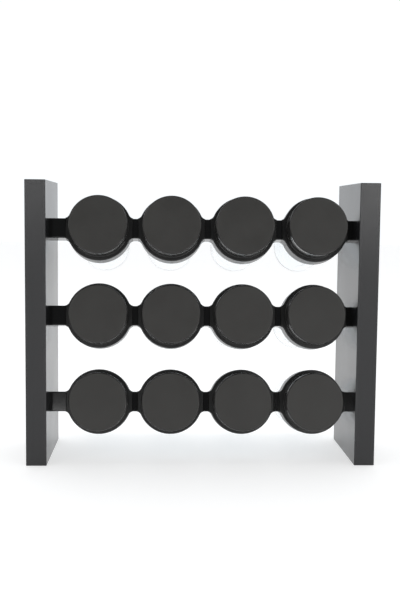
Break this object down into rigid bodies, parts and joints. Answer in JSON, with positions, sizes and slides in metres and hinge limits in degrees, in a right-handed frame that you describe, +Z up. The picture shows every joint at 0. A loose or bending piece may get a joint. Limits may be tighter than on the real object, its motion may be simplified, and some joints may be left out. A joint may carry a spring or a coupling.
{
  "type": "spice rack",
  "caption": "Free-standing spice rack: side panels with wavy collar strips that hold tilted glass jars with screw lids, each jar pulling out forwards.",
  "frame": {"origin": "on the floor, in the middle of the footprint of the rack with its jars in place", "axes": "+X to the right across the rack, -Y out of the front where the lids are, +Z up"},
  "size_m": [0.3, 0.1344, 0.2435],
  "materials": {
    "panel_lacquer": "satin dark grey lacquer",
    "holder_lacquer": "gloss black lacquer",
    "screw_steel": "zinc plated",
    "cap_plastic": "satin dark grey",
    "dowel_wood": "plain beech",
    "jar_glass": "clear",
    "sifter_plastic": "natural white",
    "liner_foam": "white foam",
    "lid_plastic": "fine matt warm grey"
  },
  "bodies": {
    "rack": {"left_side_panel": "panel_lacquer", "right_side_panel": "panel_lacquer", "bottom_jar_holder": "holder_lacquer", "middle_jar_holder": "holder_lacquer", "top_jar_holder": "holder_lacquer", "holder_screws": "screw_steel", "screw_caps": "cap_plastic", "holder_dowels": "dowel_wood"},
    "bottom_jar_1": {"bottom_jar_1_glass": "jar_glass", "bottom_jar_1_sifter": "sifter_plastic"},
    "bottom_jar_1_liner": {"bottom_jar_1_liner": "liner_foam"},
    "bottom_jar_1_lid": {"bottom_jar_1_lid": "lid_plastic"},
    "bottom_jar_2": {"bottom_jar_2_glass": "jar_glass", "bottom_jar_2_sifter": "sifter_plastic"},
    "bottom_jar_2_liner": {"bottom_jar_2_liner": "liner_foam"},
    "bottom_jar_2_lid": {"bottom_jar_2_lid": "lid_plastic"},
    "bottom_jar_3": {"bottom_jar_3_glass": "jar_glass", "bottom_jar_3_sifter": "sifter_plastic"},
    "bottom_jar_3_liner": {"bottom_jar_3_liner": "liner_foam"},
    "bottom_jar_3_lid": {"bottom_jar_3_lid": "lid_plastic"},
    "bottom_jar_4": {"bottom_jar_4_glass": "jar_glass", "bottom_jar_4_sifter": "sifter_plastic"},
    "bottom_jar_4_liner": {"bottom_jar_4_liner": "liner_foam"},
    "bottom_jar_4_lid": {"bottom_jar_4_lid": "lid_plastic"},
    "middle_jar_1": {"middle_jar_1_glass": "jar_glass", "middle_jar_1_sifter": "sifter_plastic"},
    "middle_jar_1_liner": {"middle_jar_1_liner": "liner_foam"},
    "middle_jar_1_lid": {"middle_jar_1_lid": "lid_plastic"},
    "middle_jar_2": {"middle_jar_2_glass": "jar_glass", "middle_jar_2_sifter": "sifter_plastic"},
    "middle_jar_2_liner": {"middle_jar_2_liner": "liner_foam"},
    "middle_jar_2_lid": {"middle_jar_2_lid": "lid_plastic"},
    "middle_jar_3": {"middle_jar_3_glass": "jar_glass", "middle_jar_3_sifter": "sifter_plastic"},
    "middle_jar_3_liner": {"middle_jar_3_liner": "liner_foam"},
    "middle_jar_3_lid": {"middle_jar_3_lid": "lid_plastic"},
    "middle_jar_4": {"middle_jar_4_glass": "jar_glass", "middle_jar_4_sifter": "sifter_plastic"},
    "middle_jar_4_liner": {"middle_jar_4_liner": "liner_foam"},
    "middle_jar_4_lid": {"middle_jar_4_lid": "lid_plastic"},
    "top_jar_1": {"top_jar_1_glass": "jar_glass", "top_jar_1_sifter": "sifter_plastic"},
    "top_jar_1_liner": {"top_jar_1_liner": "liner_foam"},
    "top_jar_1_lid": {"top_jar_1_lid": "lid_plastic"},
    "top_jar_2": {"top_jar_2_glass": "jar_glass", "top_jar_2_sifter": "sifter_plastic"},
    "top_jar_2_liner": {"top_jar_2_liner": "liner_foam"},
    "top_jar_2_lid": {"top_jar_2_lid": "lid_plastic"},
    "top_jar_3": {"top_jar_3_glass": "jar_glass", "top_jar_3_sifter": "sifter_plastic"},
    "top_jar_3_liner": {"top_jar_3_liner": "liner_foam"},
    "top_jar_3_lid": {"top_jar_3_lid": "lid_plastic"},
    "top_jar_4": {"top_jar_4_glass": "jar_glass", "top_jar_4_sifter": "sifter_plastic"},
    "top_jar_4_liner": {"top_jar_4_liner": "liner_foam"},
    "top_jar_4_lid": {"top_jar_4_lid": "lid_plastic"}
  },
  "joints": [
    {"name": "bottom_jar_1_pull_out", "type": "slide", "parent": "rack", "child": "bottom_jar_1", "axis": [0, -0.9829, 0.184], "range_m": [0, 0.108]},
    {"name": "bottom_jar_1_lid_rise", "type": "slide", "parent": "bottom_jar_1", "child": "bottom_jar_1_liner", "axis": [0, -0.9829, 0.184], "range_m": [0, 0.00351]},
    {"name": "bottom_jar_1_lid_turn", "type": "hinge", "parent": "bottom_jar_1_liner", "child": "bottom_jar_1_lid", "pos_m": [-0.0893, -0.04274, 0.0511], "axis": [0, -0.9829, 0.184], "range_deg": [0, 360]},
    {"name": "bottom_jar_2_pull_out", "type": "slide", "parent": "rack", "child": "bottom_jar_2", "axis": [0, -0.9829, 0.184], "range_m": [0, 0.108]},
    {"name": "bottom_jar_2_lid_rise", "type": "slide", "parent": "bottom_jar_2", "child": "bottom_jar_2_liner", "axis": [0, -0.9829, 0.184], "range_m": [0, 0.00351]},
    {"name": "bottom_jar_2_lid_turn", "type": "hinge", "parent": "bottom_jar_2_liner", "child": "bottom_jar_2_lid", "pos_m": [-0.0267, -0.04274, 0.0511], "axis": [0, -0.9829, 0.184], "range_deg": [0, 360]},
    {"name": "bottom_jar_3_pull_out", "type": "slide", "parent": "rack", "child": "bottom_jar_3", "axis": [0, -0.9829, 0.184], "range_m": [0, 0.108]},
    {"name": "bottom_jar_3_lid_rise", "type": "slide", "parent": "bottom_jar_3", "child": "bottom_jar_3_liner", "axis": [0, -0.9829, 0.184], "range_m": [0, 0.00351]},
    {"name": "bottom_jar_3_lid_turn", "type": "hinge", "parent": "bottom_jar_3_liner", "child": "bottom_jar_3_lid", "pos_m": [0.0359, -0.04274, 0.0511], "axis": [0, -0.9829, 0.184], "range_deg": [0, 360]},
    {"name": "bottom_jar_4_pull_out", "type": "slide", "parent": "rack", "child": "bottom_jar_4", "axis": [0, -0.9829, 0.184], "range_m": [0, 0.108]},
    {"name": "bottom_jar_4_lid_rise", "type": "slide", "parent": "bottom_jar_4", "child": "bottom_jar_4_liner", "axis": [0, -0.9829, 0.184], "range_m": [0, 0.00351]},
    {"name": "bottom_jar_4_lid_turn", "type": "hinge", "parent": "bottom_jar_4_liner", "child": "bottom_jar_4_lid", "pos_m": [0.0985, -0.04274, 0.0511], "axis": [0, -0.9829, 0.184], "range_deg": [0, 360]},
    {"name": "middle_jar_1_pull_out", "type": "slide", "parent": "rack", "child": "middle_jar_1", "axis": [0, -0.9829, 0.184], "range_m": [0, 0.108]},
    {"name": "middle_jar_1_lid_rise", "type": "slide", "parent": "middle_jar_1", "child": "middle_jar_1_liner", "axis": [0, -0.9829, 0.184], "range_m": [0, 0.00351]},
    {"name": "middle_jar_1_lid_turn", "type": "hinge", "parent": "middle_jar_1_liner", "child": "middle_jar_1_lid", "pos_m": [-0.0893, -0.04274, 0.1271], "axis": [0, -0.9829, 0.184], "range_deg": [0, 360]},
    {"name": "middle_jar_2_pull_out", "type": "slide", "parent": "rack", "child": "middle_jar_2", "axis": [0, -0.9829, 0.184], "range_m": [0, 0.108]},
    {"name": "middle_jar_2_lid_rise", "type": "slide", "parent": "middle_jar_2", "child": "middle_jar_2_liner", "axis": [0, -0.9829, 0.184], "range_m": [0, 0.00351]},
    {"name": "middle_jar_2_lid_turn", "type": "hinge", "parent": "middle_jar_2_liner", "child": "middle_jar_2_lid", "pos_m": [-0.0267, -0.04274, 0.1271], "axis": [0, -0.9829, 0.184], "range_deg": [0, 360]},
    {"name": "middle_jar_3_pull_out", "type": "slide", "parent": "rack", "child": "middle_jar_3", "axis": [0, -0.9829, 0.184], "range_m": [0, 0.108]},
    {"name": "middle_jar_3_lid_rise", "type": "slide", "parent": "middle_jar_3", "child": "middle_jar_3_liner", "axis": [0, -0.9829, 0.184], "range_m": [0, 0.00351]},
    {"name": "middle_jar_3_lid_turn", "type": "hinge", "parent": "middle_jar_3_liner", "child": "middle_jar_3_lid", "pos_m": [0.0359, -0.04274, 0.1271], "axis": [0, -0.9829, 0.184], "range_deg": [0, 360]},
    {"name": "middle_jar_4_pull_out", "type": "slide", "parent": "rack", "child": "middle_jar_4", "axis": [0, -0.9829, 0.184], "range_m": [0, 0.108]},
    {"name": "middle_jar_4_lid_rise", "type": "slide", "parent": "middle_jar_4", "child": "middle_jar_4_liner", "axis": [0, -0.9829, 0.184], "range_m": [0, 0.00351]},
    {"name": "middle_jar_4_lid_turn", "type": "hinge", "parent": "middle_jar_4_liner", "child": "middle_jar_4_lid", "pos_m": [0.0985, -0.04274, 0.1271], "axis": [0, -0.9829, 0.184], "range_deg": [0, 360]},
    {"name": "top_jar_1_pull_out", "type": "slide", "parent": "rack", "child": "top_jar_1", "axis": [0, -0.9829, 0.184], "range_m": [0, 0.108]},
    {"name": "top_jar_1_lid_rise", "type": "slide", "parent": "top_jar_1", "child": "top_jar_1_liner", "axis": [0, -0.9829, 0.184], "range_m": [0, 0.00351]},
    {"name": "top_jar_1_lid_turn", "type": "hinge", "parent": "top_jar_1_liner", "child": "top_jar_1_lid", "pos_m": [-0.0893, -0.04274, 0.2031], "axis": [0, -0.9829, 0.184], "range_deg": [0, 360]},
    {"name": "top_jar_2_pull_out", "type": "slide", "parent": "rack", "child": "top_jar_2", "axis": [0, -0.9829, 0.184], "range_m": [0, 0.108]},
    {"name": "top_jar_2_lid_rise", "type": "slide", "parent": "top_jar_2", "child": "top_jar_2_liner", "axis": [0, -0.9829, 0.184], "range_m": [0, 0.00351]},
    {"name": "top_jar_2_lid_turn", "type": "hinge", "parent": "top_jar_2_liner", "child": "top_jar_2_lid", "pos_m": [-0.0267, -0.04274, 0.2031], "axis": [0, -0.9829, 0.184], "range_deg": [0, 360]},
    {"name": "top_jar_3_pull_out", "type": "slide", "parent": "rack", "child": "top_jar_3", "axis": [0, -0.9829, 0.184], "range_m": [0, 0.108]},
    {"name": "top_jar_3_lid_rise", "type": "slide", "parent": "top_jar_3", "child": "top_jar_3_liner", "axis": [0, -0.9829, 0.184], "range_m": [0, 0.00351]},
    {"name": "top_jar_3_lid_turn", "type": "hinge", "parent": "top_jar_3_liner", "child": "top_jar_3_lid", "pos_m": [0.0359, -0.04274, 0.2031], "axis": [0, -0.9829, 0.184], "range_deg": [0, 360]},
    {"name": "top_jar_4_pull_out", "type": "slide", "parent": "rack", "child": "top_jar_4", "axis": [0, -0.9829, 0.184], "range_m": [0, 0.108]},
    {"name": "top_jar_4_lid_rise", "type": "slide", "parent": "top_jar_4", "child": "top_jar_4_liner", "axis": [0, -0.9829, 0.184], "range_m": [0, 0.00351]},
    {"name": "top_jar_4_lid_turn", "type": "hinge", "parent": "top_jar_4_liner", "child": "top_jar_4_lid", "pos_m": [0.0985, -0.04274, 0.2031], "axis": [0, -0.9829, 0.184], "range_deg": [0, 360]}
  ],
  "couplings": [
    {"joint": "bottom_jar_1_lid_rise", "follows": "bottom_jar_1_lid_turn", "m_per_rad": 0.00055704},
    {"joint": "bottom_jar_2_lid_rise", "follows": "bottom_jar_2_lid_turn", "m_per_rad": 0.00055704},
    {"joint": "bottom_jar_3_lid_rise", "follows": "bottom_jar_3_lid_turn", "m_per_rad": 0.00055704},
    {"joint": "bottom_jar_4_lid_rise", "follows": "bottom_jar_4_lid_turn", "m_per_rad": 0.00055704},
    {"joint": "middle_jar_1_lid_rise", "follows": "middle_jar_1_lid_turn", "m_per_rad": 0.00055704},
    {"joint": "middle_jar_2_lid_rise", "follows": "middle_jar_2_lid_turn", "m_per_rad": 0.00055704},
    {"joint": "middle_jar_3_lid_rise", "follows": "middle_jar_3_lid_turn", "m_per_rad": 0.00055704},
    {"joint": "middle_jar_4_lid_rise", "follows": "middle_jar_4_lid_turn", "m_per_rad": 0.00055704},
    {"joint": "top_jar_1_lid_rise", "follows": "top_jar_1_lid_turn", "m_per_rad": 0.00055704},
    {"joint": "top_jar_2_lid_rise", "follows": "top_jar_2_lid_turn", "m_per_rad": 0.00055704},
    {"joint": "top_jar_3_lid_rise", "follows": "top_jar_3_lid_turn", "m_per_rad": 0.00055704},
    {"joint": "top_jar_4_lid_rise", "follows": "top_jar_4_lid_turn", "m_per_rad": 0.00055704}
  ]
}
